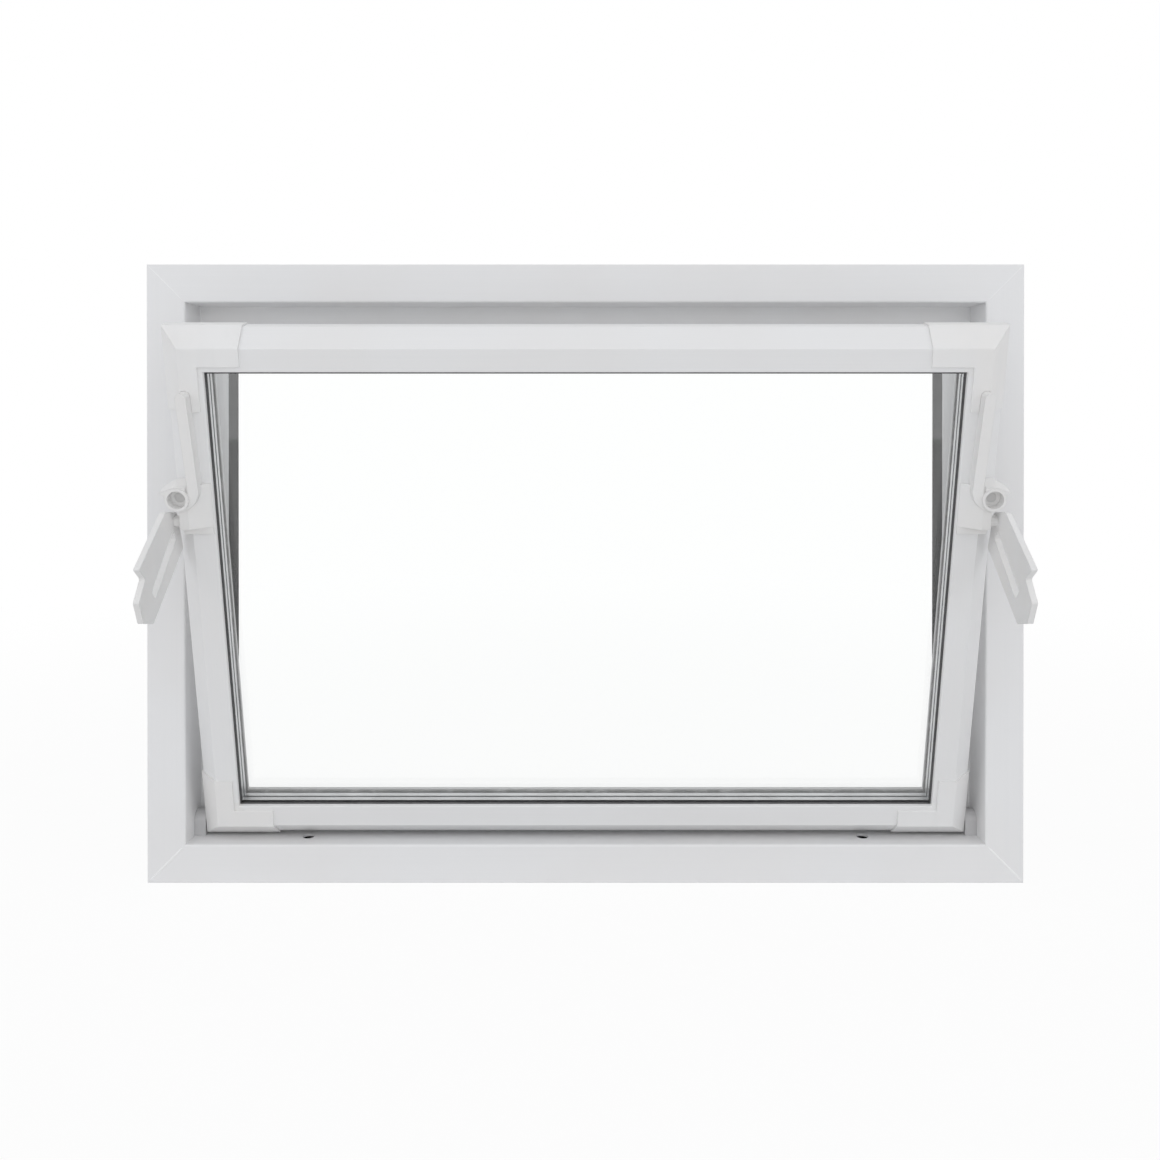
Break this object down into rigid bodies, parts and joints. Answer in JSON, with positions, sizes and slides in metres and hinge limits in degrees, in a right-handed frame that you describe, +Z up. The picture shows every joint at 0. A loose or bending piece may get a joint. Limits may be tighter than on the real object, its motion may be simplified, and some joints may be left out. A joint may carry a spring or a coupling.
{
  "type": "bottom-hung hopper window",
  "caption": "Rectangular white plastic hopper window, its double-glazed sash hung at the bottom and tilted open into the room, with slotted side levers.",
  "frame": {"origin": "centre of the sill's flat underside, half way through the frame's depth", "axes": "+X to the right as seen from the room, +Y from the room into the wall, +Z up"},
  "size_m": [0.85, 0.2281, 0.6],
  "materials": {
    "frame_plastic": "smooth satin white extruded plastic",
    "sash_plastic": "smooth satin white extruded plastic",
    "connector_plastic": "fine-grained moulded white plastic",
    "lever_plastic": "fine-grained moulded white plastic",
    "pane_glass": "clear float glass",
    "spacer_metal": "mill-finished, perforated along the middle",
    "seal_rubber": "matt black",
    "bearing_plastic": "dark grey moulded plastic",
    "pin_steel": "zinc-plated"
  },
  "bodies": {
    "root": {"corner_bottom_left": "connector_plastic", "corner_bottom_right": "connector_plastic", "corner_top_left": "connector_plastic", "corner_top_right": "connector_plastic", "frame_head": "frame_plastic", "frame_left_jamb": "frame_plastic", "frame_right_jamb": "frame_plastic", "frame_sill": "frame_plastic", "front_gasket": "seal_rubber", "front_pane": "pane_glass", "glass_spacer": "spacer_metal", "left_bracket_screw": "pin_steel", "left_lever": "lever_plastic", "left_lever_bracket": "lever_plastic", "left_lever_pin": "pin_steel", "left_tilt_bearing": "bearing_plastic", "left_tilt_pin": "pin_steel", "rear_gasket": "seal_rubber", "rear_pane": "pane_glass", "right_bracket_screw": "pin_steel", "right_lever": "lever_plastic", "right_lever_bracket": "lever_plastic", "right_lever_pin": "pin_steel", "right_tilt_bearing": "bearing_plastic", "right_tilt_pin": "pin_steel", "sash_bottom_rail": "sash_plastic", "sash_left_stile": "sash_plastic", "sash_right_stile": "sash_plastic", "sash_seal": "seal_rubber", "sash_top_rail": "sash_plastic"}
  },
  "joints": []
}
